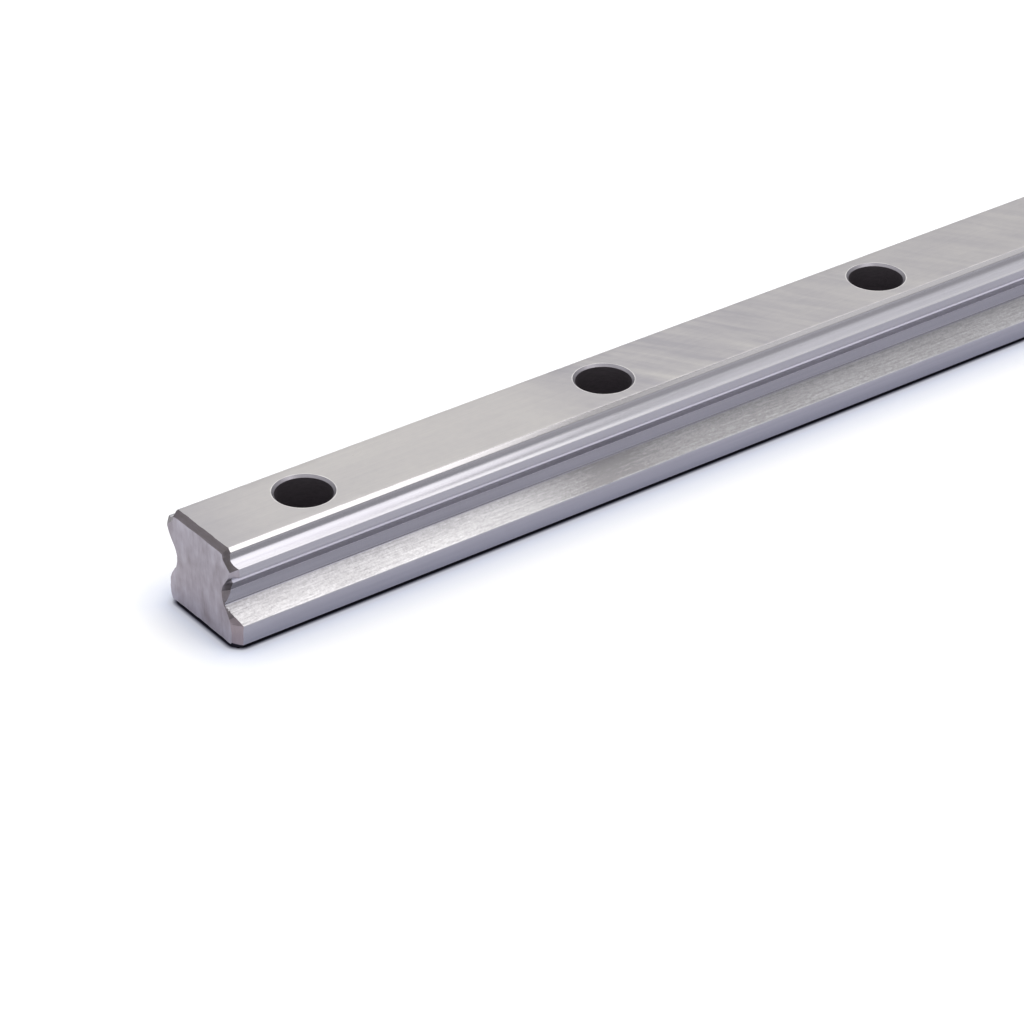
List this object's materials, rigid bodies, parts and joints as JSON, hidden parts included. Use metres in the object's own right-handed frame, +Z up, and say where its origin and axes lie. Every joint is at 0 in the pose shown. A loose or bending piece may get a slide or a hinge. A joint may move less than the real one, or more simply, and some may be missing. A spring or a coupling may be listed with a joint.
{
  "type": "linear guide rail",
  "caption": "Straight steel rail with a grooved head, a narrow waist, a wide base and a row of counterbored screw holes for a ball carriage.",
  "frame": {"origin": "middle of the base face", "axes": "+X along the rail, +Y across it, +Z up from the base to the top face"},
  "size_m": [0.4, 0.02, 0.0175],
  "materials": {
    "ground_steel": "ground and milled, bare"
  },
  "bodies": {
    "root": {"guide_rail": "ground_steel"}
  },
  "joints": []
}
